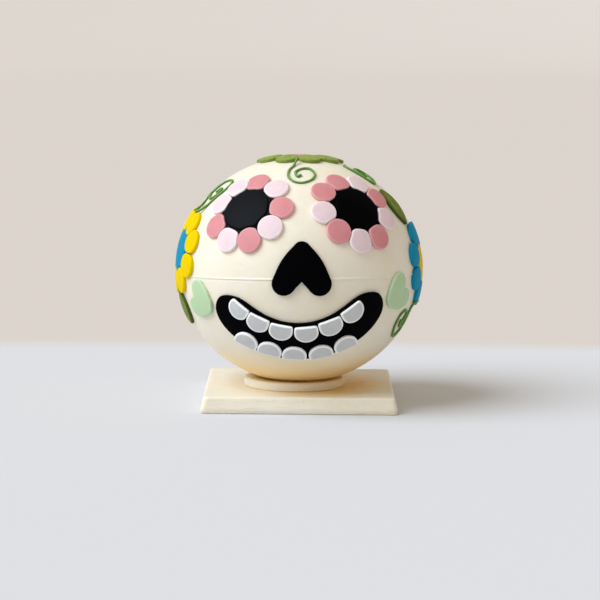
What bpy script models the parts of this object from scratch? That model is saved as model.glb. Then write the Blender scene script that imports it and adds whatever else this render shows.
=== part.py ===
"""White-chocolate ball to smash, dressed as a sugar skull, on its moulded chocolate base.

Two moulded half shells make a slightly flattened ball. It leans back a little in a dished
foot disc on a square base plate. Thin pieces of coloured sugar paste follow the ball's
surface: two eye flowers, a heart nose, a grin with teeth, cheek hearts, a flower on each
side and one on top, two leaves and four piped curls.

Lengths are metres and angles degrees. +Z is up and the face looks along -Y. The origin is
the middle of the plate's underside. A place on the ball is a longitude, 0 at the front and
positive towards +X, and a latitude, 90 at the top.
"""
import math

import bmesh
import bpy
from mathutils import Vector

# Ball
BALL_RADIUS = 0.0750
BALL_HALF_HEIGHT = 0.0703
BALL_MEAN_RADIUS = (2 * BALL_RADIUS + BALL_HALF_HEIGHT) / 3
BALL_CENTRE = (-0.0008, -0.0060, 0.0823)
LEAN_BACK = 3.0
LEAN_SIDE = 0.9
SEAM_DROP = 0.0017
BALL_SEGMENTS = 44
SHELL_RINGS = 12

# Base plate and foot disc
PLATE_WIDTH = 0.1205
PLATE_THICKNESS = 0.0100
PLATE_DRAFT = 0.0020
PLATE_CORNER = 0.0030
PLATE_EDGE_ROUND = 0.0014
FOOT_RADIUS = 0.0314
FOOT_HEIGHT = 0.0050
FOOT_SHIFT = -0.0025
FOOT_EDGE_ROUND = 0.0014

# Clearance between neighbouring pieces
GAP = 0.0003
SKIN_GAP = 0.0004

# Sugar paste pieces
PASTE = 0.0018
PASTE_ROUND = 0.0006
PETAL_RADIUS = 0.0076
PETALS = 9
CORNER_SOFTNESS = 12

# Points along the outlines
PETAL_POINTS = 16
EYE_CENTRE_POINTS = 30
FLOWER_CENTRE_POINTS = 36
RING_POINTS_PER_PETAL = 6
TOOTH_POINTS = 18
LEAF_POINTS = 22
NOSE_POINTS = 34
CHEEK_POINTS = 26
HEART_ARC_POINTS = 14
CORNER_STEPS = 4
EDGE_STEPS = 3

# Eye flowers: place, the middle, radius and two-way stretch of the black disc, then for each
# petal its angle, its distance, its colour and how far up it lies in the pile; of two
# neighbours the higher one stays round and presses into the other
EYE_CENTRE_LEVEL = 3
LEFT_EYE = (-29.5, 32.6)
LEFT_EYE_CENTRE = ((0.0002, -0.0010), 0.0146, (1.0, 0.97))
LEFT_EYE_PETALS = (
    (91, 0.0203, "pink", 1), (49, 0.0211, "pale", 3), (6, 0.0218, "pink", 3),
    (-32, 0.0218, "pale", 5), (-71, 0.0218, "pink", 4), (-110, 0.0218, "pale", 3),
    (-149, 0.0218, "pink", 2), (167, 0.0218, "pale", 2), (130, 0.0218, "pale", 2))
RIGHT_EYE = (33.2, 32.5)
RIGHT_EYE_CENTRE = ((0.0008, -0.0002), 0.0146, (0.96, 1.0))
RIGHT_EYE_PETALS = (
    (101, 0.0202, "pink", 3), (141, 0.0213, "pink", 4), (183, 0.0218, "pale", 4),
    (222, 0.0218, "pink", 5), (261, 0.0218, "pale", 3), (298, 0.0218, "pink", 3),
    (342, 0.0218, "pale", 2), (22, 0.0218, "pink", 2), (59, 0.0218, "pale", 2))

# Side and top flowers: place, the angle of the first petal and the petals' distance
LEFT_FLOWER = (-78.6, 11.0, 10, 0.0204)
RIGHT_FLOWER = (86.0, 4.2, 8.5, 0.0203)
TOP_FLOWER = (147.0, 88.4, 20, 0.0210)
FLOWER_CENTRE_RADIUS = 0.0144

# Hearts: the lobes' radius, how far each lies from the axis, the distance from them to the
# tip, the tip's radius, the notch's depth towards the tip, the middle's share of the length,
# and how far the sides bulge
NOSE_HEART = (0.0069, 0.0104, 0.0245, 0.0053, 0.0014, 0.30, 0.0013)
CHEEK_HEART = (0.0062, 0.0061, 0.0148, 0.0074, -0.0022, 0.22, 0.0008)

# Nose and cheek hearts: place and the way the tip points
NOSE = (1.4, 2.5, 89)
LEFT_CHEEK = (-53.4, -12.4, -27)
RIGHT_CHEEK = (53.7, -9.9, -145)

# Grin: a crescent round a point above it
MOUTH = (0.0, -25.0)
MOUTH_PIVOT = (-0.0003, 0.0518)
MOUTH_RADIUS = 0.0613
MOUTH_REACH = 53.3
MOUTH_TURN = 0.8
MOUTH_HALF_WIDTH = 0.0135
MOUTH_END_SHARPNESS = 8.0
MOUTH_END_ROUNDNESS = 1.57
MOUTH_SECTIONS = 30
MOUTH_SHARE = 0.998

# Teeth: discs with a slice cut off, laid on the crescent, each at an angle from straight
# down, a distance from the crescent's pivot and a radius
TOOTH_CUT = 0.0030
TOOTH_THICKNESS = 0.0017
TOOTH_TILT = 0.78
UPPER_TEETH = ((-39.9, 0.0540, 0.0068), (-26.3, 0.0524, 0.0073), (-11.2, 0.0520, 0.0073),
               (4.8, 0.0523, 0.0073), (20.5, 0.0520, 0.0075), (36.2, 0.0526, 0.0074))
LOWER_TEETH = ((-26.2, 0.0713, 0.0073), (-14.3, 0.0702, 0.0073), (-2.2, 0.0704, 0.0073),
               (10.6, 0.0712, 0.0073), (23.0, 0.0716, 0.0073))

# Leaves: place, the way the leaf points, its length
LEFT_LEAF = (-76.3, -18.9, -92, 0.0186)
RIGHT_LEAF = (71.3, 33.0, 87, 0.0248)
LEAF_WIDTH = 0.0160

# Piped curls: place, size, first angle, turns (negative is clockwise), where the stem starts
CURL_THICKNESS = 0.0017
CURL_STEPS = 28
CURL_EYE = 0.0012
CURL_HOLD = 0.5
FOREHEAD_CURL = (2.7, 55.1, 0.0083, 134, 1.42, (-0.0020, 0.0152))
LEFT_CURL = (-67.8, 41.0, 0.0108, -82, 1.45, (-0.0040, -0.0128))
RIGHT_UPPER_CURL = (74.0, 54.5, 0.0080, 118, 1.40, (-0.0050, 0.0135))
RIGHT_LOWER_CURL = (67.0, -25.0, 0.0084, 35, -1.40, (0.0086, 0.0074))

COLOURS = {
    "white_chocolate": ((0.85, 0.79, 0.66), 0.40),
    "black": ((0.012, 0.012, 0.014), 0.45),
    "pink": ((0.78, 0.30, 0.33), 0.50),
    "pale": ((0.90, 0.78, 0.80), 0.50),
    "white": ((0.70, 0.71, 0.72), 0.50),
    "mint": ((0.48, 0.66, 0.42), 0.50),
    "yellow": ((0.93, 0.68, 0.01), 0.50),
    "blue": ((0.02, 0.36, 0.55), 0.50),
    "leaf_green": ((0.24, 0.35, 0.07), 0.50),
    "piped_green": ((0.09, 0.21, 0.03), 0.45),
}


def clear_scene():
    for old in list(bpy.data.objects):
        bpy.data.objects.remove(old, do_unlink=True)


def make_material(name):
    colour, roughness = COLOURS[name]
    material = bpy.data.materials.new(name)
    material.use_nodes = True
    shader = material.node_tree.nodes["Principled BSDF"]
    shader.inputs["Base Color"].default_value = (*colour, 1.0)
    shader.inputs["Roughness"].default_value = roughness
    shader.inputs["Metallic"].default_value = 0.0
    return material


def add_object(name, data, colour, parent=None):
    """A named object with a material of its own."""
    data.materials.append(make_material(colour))
    new = bpy.data.objects.new(name, data)
    bpy.context.scene.collection.objects.link(new)
    new.parent = parent
    return new


def loft(name, rings, ends):
    """A closed skin over rings of points, which are single points or loops of one length.

    ends is "caps" for a flat face at each end, or "joined" where the last ring meets the
    first one.
    """
    mesh = bmesh.new()
    loops = [[mesh.verts.new(point) for point in ring] for ring in rings]
    pairs = list(zip(loops, loops[1:]))
    if ends == "joined":
        pairs.append((loops[-1], loops[0]))
    for lower, upper in pairs:
        count = max(len(lower), len(upper))
        for i in range(count):
            j = (i + 1) % count
            if len(lower) == 1:
                mesh.faces.new((lower[0], upper[j], upper[i]))
            elif len(upper) == 1:
                mesh.faces.new((lower[i], lower[j], upper[0]))
            else:
                mesh.faces.new((lower[i], lower[j], upper[j], upper[i]))
    if ends == "caps":
        if len(loops[0]) > 1:
            mesh.faces.new(list(reversed(loops[0])))
        if len(loops[-1]) > 1:
            mesh.faces.new(loops[-1])
    bmesh.ops.recalc_face_normals(mesh, faces=mesh.faces)
    data = bpy.data.meshes.new(name)
    mesh.to_mesh(data)
    mesh.free()
    data.shade_smooth()
    data.set_sharp_from_angle(angle=math.radians(35))
    return data


def on_ball(direction, height):
    """The point of the ball's surface in a direction from its middle, raised by a height."""
    flat = (direction.x ** 2 + direction.y ** 2) / BALL_RADIUS ** 2
    point = direction / math.sqrt(flat + direction.z ** 2 / BALL_HALF_HEIGHT ** 2)
    outward = Vector((point.x / BALL_RADIUS ** 2, point.y / BALL_RADIUS ** 2,
                      point.z / BALL_HALF_HEIGHT ** 2)).normalized()
    return point + outward * height


def patch_axes(longitude, latitude):
    """The outward, eastward and northward directions at a place on the ball."""
    east_angle, north_angle = math.radians(longitude), math.radians(latitude)
    outward = Vector((math.sin(east_angle) * math.cos(north_angle),
                      -math.cos(east_angle) * math.cos(north_angle), math.sin(north_angle)))
    east = Vector((math.cos(east_angle), math.sin(east_angle), 0.0))
    return outward, east, outward.cross(east)


def wrap(axes, u, v, height):
    """The point u east and v north of a patch's middle, measured along the ball."""
    outward, east, north = axes
    angle = math.hypot(u, v) / BALL_MEAN_RADIUS
    turn = math.atan2(v, u)
    sideways = east * math.cos(turn) + north * math.sin(turn)
    return on_ball(outward * math.cos(angle) + sideways * math.sin(angle), height)


def turned(points, angle, middle=(0.0, 0.0)):
    """Flat points turned by an angle and moved to a middle."""
    c, s = math.cos(math.radians(angle)), math.sin(math.radians(angle))
    return [(middle[0] + c * x - s * y, middle[1] + s * x + c * y) for x, y in points]


def paste_piece(name, axes, middle, outline, base, thickness, rings):
    """A thin piece that follows the ball, from its outline round a middle that sees all of it."""
    def ring(share, inset, height):
        points = []
        for u, v in outline:
            reach = math.hypot(u, v)
            scale = share * (reach - inset) / reach
            points.append(wrap(axes, middle[0] + u * scale, middle[1] + v * scale, height))
        return points

    centre_low = [wrap(axes, *middle, base)]
    centre_high = [wrap(axes, *middle, base + thickness)]
    shares = [i / rings for i in range(1, rings)]
    skin = [centre_low]
    skin += [ring(share, 0.0, base) for share in shares]
    skin.append(ring(1.0, 0.0, base))
    skin.append(ring(1.0, 0.0, base + thickness - PASTE_ROUND))
    skin.append(ring(1.0, PASTE_ROUND, base + thickness))
    skin += [ring(share, PASTE_ROUND, base + thickness) for share in reversed(shares)]
    skin.append(centre_high)
    return loft(name, skin, "caps")


def soft_minimum(values):
    """The least of the values, eased where two of them are nearly equal."""
    return sum(value ** -CORNER_SOFTNESS for value in values) ** (-1 / CORNER_SOFTNESS)


def pressed_outline(disc, neighbours, count, cut=None, stretch=(1.0, 1.0)):
    """A disc's outline where its neighbours press it.

    Each disc is a middle, a radius and a level. A cut is the direction and the distance of a
    straight slice off the disc. A stretch makes the disc an oval.
    """
    middle, radius, level = disc
    outline = []
    for i in range(count):
        angle = 2 * math.pi * i / count
        along = (math.cos(angle), math.sin(angle))
        reaches = [radius / math.hypot(along[0] / stretch[0], along[1] / stretch[1])]
        if cut and math.cos(angle - cut[0]) > 0:
            reaches.append(cut[1] / math.cos(angle - cut[0]))
        for other, other_radius, other_level in neighbours:
            away = (other[0] - middle[0], other[1] - middle[1])
            apart = math.hypot(*away)
            toward = along[0] * away[0] + along[1] * away[1]
            if other_level < level or toward <= 0 or apart > radius + other_radius + GAP:
                continue
            if other_level == level:
                face = (apart ** 2 + radius ** 2 - other_radius ** 2) / (2 * apart) - GAP / 2
                reaches.append(face * apart / toward)
            else:
                rim = (other_radius + GAP) ** 2 - (apart ** 2 - toward ** 2)
                if rim > 0:
                    reaches.append(toward - math.sqrt(rim))
        reach = soft_minimum(reaches)
        outline.append((along[0] * reach, along[1] * reach))
    return outline


def evenly(path, count):
    """A closed path's points, spread evenly along it."""
    closed = path + [path[0]]
    steps = [math.dist(a, b) for a, b in zip(closed, closed[1:])]
    spacing = sum(steps) / count
    points, start, i = [], 0.0, 0
    for k in range(count):
        while start + steps[i] < k * spacing:
            start += steps[i]
            i += 1
        share = (k * spacing - start) / steps[i]
        a, b = closed[i], closed[i + 1]
        points.append((a[0] + (b[0] - a[0]) * share, a[1] + (b[1] - a[1]) * share))
    return points


def heart_outline(heart, count):
    """A heart with its tip towards +X, round the middle between its lobes and its tip."""
    lobe, spread, length, tip_round, notch, middle_share, bulge = heart
    tip_middle = length - tip_round
    side = (math.acos((lobe - tip_round) / math.hypot(tip_middle, spread))
            - math.atan2(spread, tip_middle))
    first = -math.atan2(spread, notch) - math.acos(lobe / math.hypot(notch, spread))
    sweep = side - 2 * math.pi - first
    half = [(notch, 0.0)]
    for i in range(HEART_ARC_POINTS + 1):
        angle = first + sweep * i / HEART_ARC_POINTS
        half.append((lobe * math.cos(angle), spread + lobe * math.sin(angle)))
    start = half[-1]
    end = (tip_middle + tip_round * math.cos(side), tip_round * math.sin(side))
    for i in range(1, HEART_ARC_POINTS + 1):
        share = i / HEART_ARC_POINTS
        out = bulge * math.sin(math.pi * share)
        half.append((start[0] + (end[0] - start[0]) * share + out * math.cos(side),
                     start[1] + (end[1] - start[1]) * share + out * math.sin(side)))
    for i in range(1, HEART_ARC_POINTS):
        angle = side * (1 - i / HEART_ARC_POINTS)
        half.append((tip_middle + tip_round * math.cos(angle), tip_round * math.sin(angle)))
    other_half = [(x, -y) for x, y in reversed(half[1:])]
    middle = length * middle_share
    return [(x - middle, y) for x, y in evenly(half + [(length, 0.0)] + other_half, count)]


def leaf_outline(length, count):
    """A pointed leaf along X: two arcs that meet at its ends."""
    half, belly = length / 2, LEAF_WIDTH / 2
    radius = (half ** 2 + belly ** 2) / (2 * belly)
    sweep = math.asin(half / radius)
    steps = count // 2
    upper = []
    for i in range(steps):
        angle = sweep - 2 * sweep * i / steps
        upper.append((radius * math.sin(angle), radius * math.cos(angle) - radius + belly))
    return upper + [(-x, -y) for x, y in upper]


def ring_of_points(radius, height, count):
    return [Vector((radius * math.cos(2 * math.pi * i / count),
                    radius * math.sin(2 * math.pi * i / count), height)) for i in range(count)]


def add_shells(ball):
    """The two half shells, which meet in a flat seam just below the ball's middle."""
    for name, side in (("shell_upper", 1), ("shell_lower", -1)):
        seam = -SEAM_DROP + side * GAP / 2
        start = math.asin(seam / BALL_HALF_HEIGHT)
        rings = []
        for i in range(SHELL_RINGS):
            latitude = start + (side * math.pi / 2 - start) * i / SHELL_RINGS
            rings.append(ring_of_points(BALL_RADIUS * math.cos(latitude),
                                        BALL_HALF_HEIGHT * math.sin(latitude), BALL_SEGMENTS))
        rings.append([Vector((0, 0, side * BALL_HALF_HEIGHT))])
        add_object(name, loft(name, rings, "caps"), "white_chocolate", ball)


def rounded_square(width, height):
    points = []
    for quarter in range(4):
        turn = math.radians(90 * quarter)
        inner = width / 2 - PLATE_CORNER
        for i in range(CORNER_STEPS + 1):
            angle = turn + math.pi / 2 * i / CORNER_STEPS
            sx = 1 if quarter in (0, 3) else -1
            sy = 1 if quarter in (0, 1) else -1
            points.append(Vector((sx * inner + PLATE_CORNER * math.cos(angle),
                                  sy * inner + PLATE_CORNER * math.sin(angle), height)))
    return points


def add_plate():
    """The square plate, wider at its underside, as it leaves the mould."""
    rings = [rounded_square(PLATE_WIDTH - PLATE_EDGE_ROUND, 0.0),
             rounded_square(PLATE_WIDTH, PLATE_EDGE_ROUND / 2)]
    straight = PLATE_THICKNESS - PLATE_EDGE_ROUND
    for step in range(EDGE_STEPS + 1):
        angle = math.pi / 2 * step / EDGE_STEPS
        inset = PLATE_DRAFT + PLATE_EDGE_ROUND * (1 - math.cos(angle))
        height = straight + PLATE_EDGE_ROUND * math.sin(angle)
        rings.append(rounded_square(PLATE_WIDTH - 2 * inset, height))
    add_object("base_plate", loft("base_plate", rings, "caps"), "white_chocolate")


def add_foot(ball):
    """The foot disc, dished so that the ball sits in it."""
    rings = [ring_of_points(FOOT_RADIUS - GAP, 0.0, BALL_SEGMENTS),
             ring_of_points(FOOT_RADIUS, GAP, BALL_SEGMENTS)]
    for step in range(EDGE_STEPS + 1):
        angle = math.pi / 2 * step / EDGE_STEPS
        rings.append(ring_of_points(FOOT_RADIUS - FOOT_EDGE_ROUND * (1 - math.cos(angle)),
                                    FOOT_HEIGHT - FOOT_EDGE_ROUND * (1 - math.sin(angle)),
                                    BALL_SEGMENTS))
    foot = add_object("foot_disc", loft("foot_disc", rings, "caps"), "white_chocolate")
    foot.location = (BALL_CENTRE[0] + FOOT_SHIFT, BALL_CENTRE[1], PLATE_THICKNESS + GAP)

    grow = 1 + GAP / BALL_HALF_HEIGHT
    cutter_rings = [[Vector((0, 0, -BALL_HALF_HEIGHT * grow))]]
    for i in range(1, SHELL_RINGS):
        latitude = math.pi / 2 * (i / SHELL_RINGS - 1)
        cutter_rings.append(ring_of_points(BALL_RADIUS * math.cos(latitude) * grow,
                                           BALL_HALF_HEIGHT * math.sin(latitude) * grow,
                                           BALL_SEGMENTS))
    cutter = add_object("dish_cutter", loft("dish_cutter", cutter_rings, "caps"),
                        "white_chocolate", ball)
    cutter.hide_render = True
    cutter.display_type = "WIRE"
    dish = foot.modifiers.new("dish", "BOOLEAN")
    dish.operation = "DIFFERENCE"
    dish.object = cutter


def petal_disc(angle, ring, level):
    turn = math.radians(angle)
    return (ring * math.cos(turn), ring * math.sin(turn)), PETAL_RADIUS, level


def add_eye(ball, name, place, centre_disc, petals):
    """An eye flower: a black disc and nine petals, pressed together as they were laid."""
    axes = patch_axes(*place)
    middle, radius, stretch = centre_disc
    discs = [petal_disc(angle, ring, level) for angle, ring, _, level in petals]
    centre = (middle, radius, EYE_CENTRE_LEVEL)
    outline = pressed_outline(centre, discs, EYE_CENTRE_POINTS, stretch=stretch)
    data = paste_piece(f"{name}_centre", axes, middle, outline, SKIN_GAP, PASTE, 2)
    add_object(f"{name}_centre", data, "black", ball)
    for i, disc in enumerate(discs):
        others = [centre, discs[i - 1], discs[(i + 1) % PETALS]]
        outline = pressed_outline(disc, others, PETAL_POINTS)
        petal = f"{name}_petal_{i + 1}"
        data = paste_piece(petal, axes, disc[0], outline, SKIN_GAP, PASTE, 1)
        add_object(petal, data, petals[i][2], ball)


def petal_ring(name, axes, first_angle, distance):
    """Nine petals pressed into one scalloped ring, lower where two of them meet."""
    count = PETALS * RING_POINTS_PER_PETAL
    spacing = 2 * math.pi / PETALS
    inner, outer, valley = [], [], []
    for i in range(count):
        angle = 2 * math.pi * i / count
        aside = (angle + spacing / 2) % spacing - spacing / 2
        bulge = math.sqrt(PETAL_RADIUS ** 2 - (distance * math.sin(aside)) ** 2)
        outer.append(distance * math.cos(aside) + bulge)
        inner.append(distance * math.cos(aside) - bulge)
        valley.append(PASTE_ROUND * (2 * abs(aside) / spacing) ** 4)

    def ring(share, inset, height, dip):
        points = []
        for i in range(count):
            turn = 2 * math.pi * i / count + math.radians(first_angle)
            low, high = inner[i] + inset, outer[i] - inset
            reach = low + (high - low) * share
            points.append(wrap(axes, reach * math.cos(turn), reach * math.sin(turn),
                               height - dip * valley[i]))
        return points

    top = SKIN_GAP + PASTE
    rings = [ring(0.0, 0.0, SKIN_GAP, 0), ring(0.5, 0.0, SKIN_GAP, 0), ring(1.0, 0.0, SKIN_GAP, 0),
             ring(1.0, 0.0, top - PASTE_ROUND, 1), ring(1.0, PASTE_ROUND, top, 1),
             ring(0.5, PASTE_ROUND, top, 1), ring(0.0, PASTE_ROUND, top, 1),
             ring(0.0, 0.0, top - PASTE_ROUND, 1)]
    return loft(name, rings, "joined")


def add_flower(ball, name, place, petal_colour, centre_colour):
    """A side or top flower: a ring of pressed petals that bites into its centre disc."""
    longitude, latitude, first_angle, distance = place
    axes = patch_axes(longitude, latitude)
    spacing = 360 / PETALS
    discs = [petal_disc(first_angle + spacing * i, distance, 1) for i in range(PETALS)]
    outline = pressed_outline(((0.0, 0.0), FLOWER_CENTRE_RADIUS, 0), discs, FLOWER_CENTRE_POINTS)
    centre = f"{name}_centre"
    data = paste_piece(centre, axes, (0.0, 0.0), outline, SKIN_GAP, PASTE, 2)
    add_object(centre, data, centre_colour, ball)
    petals = f"{name}_petals"
    add_object(petals, petal_ring(petals, axes, first_angle, distance), petal_colour, ball)


def add_hearts(ball):
    """The heart nose, tip up, and a heart on each cheek, tip towards the grin."""
    hearts = (("nose", NOSE, NOSE_HEART, NOSE_POINTS, 3, "black"),
              ("cheek_heart_left", LEFT_CHEEK, CHEEK_HEART, CHEEK_POINTS, 2, "mint"),
              ("cheek_heart_right", RIGHT_CHEEK, CHEEK_HEART, CHEEK_POINTS, 2, "mint"))
    for name, (longitude, latitude, tip), heart, count, rings, colour in hearts:
        outline = turned(heart_outline(heart, count), tip)
        data = paste_piece(name, patch_axes(longitude, latitude), (0.0, 0.0), outline,
                           SKIN_GAP, PASTE, rings)
        add_object(name, data, colour, ball)


def mouth_place(angle, radius):
    """A point of the grin, at an angle from straight down and a distance from its pivot."""
    turn = math.radians(angle)
    return (MOUTH_PIVOT[0] + radius * math.sin(turn), MOUTH_PIVOT[1] - radius * math.cos(turn))


def add_mouth(ball):
    """The black crescent, as sections across it from the left end to the right one."""
    axes = patch_axes(*MOUTH)
    sections = []
    for i in range(MOUTH_SECTIONS + 1):
        share = math.sin(math.pi / 2 * (2 * i / MOUTH_SECTIONS - 1)) * MOUTH_SHARE
        half = MOUTH_HALF_WIDTH * (1 - abs(share) ** MOUTH_END_SHARPNESS) ** (1 / MOUTH_END_ROUNDNESS)
        soft = min(PASTE_ROUND, half / 3)
        top = SKIN_GAP + PASTE
        profile = [(-half, SKIN_GAP), (-half, top - PASTE_ROUND), (soft - half, top),
                   (-half / 3, top), (half / 3, top), (half - soft, top),
                   (half, top - PASTE_ROUND), (half, SKIN_GAP),
                   (half / 3, SKIN_GAP), (-half / 3, SKIN_GAP)]
        section = []
        for offset, height in profile:
            u, v = mouth_place(MOUTH_REACH * share + MOUTH_TURN, MOUTH_RADIUS + offset)
            section.append(wrap(axes, u, v, height))
        sections.append(section)
    add_object("mouth", loft("mouth", sections, "caps"), "black", ball)


def add_teeth(ball):
    """Two rows of cut discs on the crescent, the upper row's flat side up, the lower's down."""
    axes = patch_axes(*MOUTH)
    base = SKIN_GAP + PASTE + SKIN_GAP
    for row, places, flat_side in (("upper", UPPER_TEETH, 90), ("lower", LOWER_TEETH, -90)):
        discs = [(mouth_place(angle, away), radius, 0) for angle, away, radius in places]
        for i, disc in enumerate(discs):
            others = discs[max(0, i - 1):i] + discs[i + 1:i + 2]
            flat = math.radians(flat_side + places[i][0] * TOOTH_TILT)
            outline = pressed_outline(disc, others, TOOTH_POINTS, (flat, TOOTH_CUT))
            tooth = f"tooth_{row}_{i + 1}"
            data = paste_piece(tooth, axes, disc[0], outline, base, TOOTH_THICKNESS, 1)
            add_object(tooth, data, "white", ball)


def add_leaves(ball):
    for name, (longitude, latitude, points_to, length) in (("leaf_left", LEFT_LEAF),
                                                           ("leaf_right", RIGHT_LEAF)):
        outline = turned(leaf_outline(length, LEAF_POINTS), points_to)
        data = paste_piece(name, patch_axes(longitude, latitude), (0.0, 0.0), outline,
                           SKIN_GAP, PASTE, 2)
        add_object(name, data, "leaf_green", ball)


def curl_path(size, first_angle, turns, stem_start):
    """A stem, then a spiral that keeps its size for a while and closes to its eye."""
    path = [stem_start]
    for i in range(CURL_STEPS + 1):
        share = i / CURL_STEPS
        closing = max(0.0, (share - CURL_HOLD) / (1 - CURL_HOLD))
        radius = CURL_EYE + (size - CURL_EYE) * (1 + math.cos(math.pi * closing)) / 2
        angle = math.radians(first_angle + 360 * turns * share)
        path.append((radius * math.cos(angle), radius * math.sin(angle)))
    return path


def add_curl(ball, name, curl):
    longitude, latitude, size, first_angle, turns, stem_start = curl
    axes = patch_axes(longitude, latitude)
    path = curl_path(size, first_angle, turns, stem_start)
    line = bpy.data.curves.new(name, "CURVE")
    line.dimensions = "3D"
    line.bevel_depth = CURL_THICKNESS / 2
    line.bevel_resolution = 1
    line.use_fill_caps = True
    spline = line.splines.new("POLY")
    spline.points.add(len(path) - 1)
    for point, (u, v) in zip(spline.points, path):
        point.co = (*wrap(axes, u, v, SKIN_GAP + CURL_THICKNESS / 2), 1.0)
    add_object(name, line, "piped_green", ball)


def main():
    clear_scene()
    ball = bpy.data.objects.new("ball", None)
    bpy.context.scene.collection.objects.link(ball)
    ball.location = BALL_CENTRE
    ball.rotation_euler = (-math.radians(LEAN_BACK), -math.radians(LEAN_SIDE), 0.0)

    add_plate()
    add_foot(ball)
    add_shells(ball)
    add_eye(ball, "eye_left", LEFT_EYE, LEFT_EYE_CENTRE, LEFT_EYE_PETALS)
    add_eye(ball, "eye_right", RIGHT_EYE, RIGHT_EYE_CENTRE, RIGHT_EYE_PETALS)
    add_hearts(ball)
    add_mouth(ball)
    add_teeth(ball)
    add_flower(ball, "side_flower_left", LEFT_FLOWER, "yellow", "blue")
    add_flower(ball, "side_flower_right", RIGHT_FLOWER, "blue", "yellow")
    add_flower(ball, "top_flower", TOP_FLOWER, "leaf_green", "pink")
    add_leaves(ball)
    add_curl(ball, "curl_forehead", FOREHEAD_CURL)
    add_curl(ball, "curl_left", LEFT_CURL)
    add_curl(ball, "curl_right_upper", RIGHT_UPPER_CURL)
    add_curl(ball, "curl_right_lower", RIGHT_LOWER_CURL)
    bpy.context.view_layer.update()


main()
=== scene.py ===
"""White-chocolate smash ball dressed as a sugar skull: the finished look of every piece.

Each operator makes one piece, or a group of like pieces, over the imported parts: the ball,
the foot and plate it stands on, the sugar paste flowers, hearts, grin, teeth and leaves that
follow the ball's surface, and the piped curls. The last one sets the camera, light and table.

Lengths are metres and angles degrees. A place on the ball is a longitude, 0 at the front and
positive towards +X, and a latitude, 90 at the top.
"""
import math

import bmesh
import bpy
from mathutils import Euler, Matrix, Vector, noise


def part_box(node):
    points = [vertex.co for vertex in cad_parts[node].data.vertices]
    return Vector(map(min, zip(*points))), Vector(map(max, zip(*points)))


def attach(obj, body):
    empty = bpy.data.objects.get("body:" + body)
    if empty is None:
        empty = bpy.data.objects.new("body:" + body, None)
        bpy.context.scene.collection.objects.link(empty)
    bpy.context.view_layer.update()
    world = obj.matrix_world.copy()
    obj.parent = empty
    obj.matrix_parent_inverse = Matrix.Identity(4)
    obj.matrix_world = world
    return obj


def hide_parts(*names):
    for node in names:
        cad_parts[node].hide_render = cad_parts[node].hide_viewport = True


bl_info = {
    "name": "Sugar Skull Smash Ball",
    "version": (1, 0, 0),
    "blender": (4, 5, 0),
    "location": "View3D > Sidebar > Smash Ball",
    "description": "Builds a chocolate smash ball with sugar paste decorations over its packed parts",
    "category": "Add Mesh",
}

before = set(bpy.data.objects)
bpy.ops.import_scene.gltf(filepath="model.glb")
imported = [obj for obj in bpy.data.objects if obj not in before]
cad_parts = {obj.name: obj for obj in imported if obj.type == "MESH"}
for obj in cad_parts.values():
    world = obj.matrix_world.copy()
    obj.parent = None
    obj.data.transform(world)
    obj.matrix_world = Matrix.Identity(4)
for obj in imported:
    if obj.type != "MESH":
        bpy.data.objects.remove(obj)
BODY = "root"

# The ball and the way it leans
BALL_RADIUS = 0.0750
BALL_HALF_HEIGHT = 0.0703
BALL_MEAN_RADIUS = (2 * BALL_RADIUS + BALL_HALF_HEIGHT) / 3
BALL_CENTRE = (-0.0008, -0.0060, 0.0823)
LEAN_BACK = 3.0
LEAN_SIDE = 0.9
SEAM_DROP = 0.0017
LEAN = Euler((-math.radians(LEAN_BACK), -math.radians(LEAN_SIDE), 0.0)).to_matrix().to_4x4()
BALL_PLACE = Matrix.Translation(BALL_CENTRE) @ LEAN

# Eye flowers: place, the middle, radius and two-way stretch of the black disc, then each
# petal's angle, its distance, its colour and how far up it lies in the pile; of two
# neighbours the higher one stays round and presses into the other
PETAL_RADIUS = 0.0076
PETALS = 9
EYE_CENTRE_LEVEL = 3
LEFT_EYE = (-29.5, 32.6)
LEFT_EYE_CENTRE = ((0.0002, -0.0010), 0.0147, (1.0, 0.97))
LEFT_EYE_PETALS = (
    (91, 0.0203, "pink", 1), (49, 0.0211, "pale", 3), (6, 0.0218, "pink", 3),
    (-32, 0.0218, "pale", 5), (-71, 0.0218, "pink", 4), (-110, 0.0218, "pale", 3),
    (-149, 0.0218, "pink", 2), (167, 0.0210, "pale", 2), (130, 0.0210, "pale", 2))
RIGHT_EYE = (33.2, 32.5)
RIGHT_EYE_CENTRE = ((0.0008, -0.0002), 0.0147, (0.96, 1.0))
RIGHT_EYE_PETALS = (
    (101, 0.0202, "pink", 3), (141, 0.0213, "pink", 4), (183, 0.0218, "pale", 4),
    (222, 0.0218, "pink", 5), (261, 0.0218, "pale", 3), (298, 0.0218, "pink", 3),
    (342, 0.0218, "pale", 2), (22, 0.0218, "pink", 2), (59, 0.0218, "pale", 2))

# Side and top flowers: place, how high the centre disc's top stands, then the petals' angles
# and distances
LEFT_FLOWER = (-78.6, 11.0, 0.0020)
LEFT_FLOWER_PETALS = ((15, 0.0204), (54, 0.0198), (94, 0.0186), (132, 0.0195), (171, 0.0204),
                      (211, 0.0204), (252, 0.0204), (293, 0.0204), (-26, 0.0206))
RIGHT_FLOWER = (86.0, 4.2, 0.0020)
RIGHT_FLOWER_PETALS = ((9, 0.0203), (47, 0.0195), (87, 0.0165), (126, 0.0196), (168, 0.0203),
                       (208, 0.0203), (247, 0.0207), (289, 0.0203), (329, 0.0203))
TOP_FLOWER = (147.0, 88.4, 0.0012)
TOP_FLOWER_PETALS = tuple((20 + 40 * i, 0.0210) for i in range(PETALS))
FLOWER_CENTRE_RADIUS = 0.0144

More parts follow.
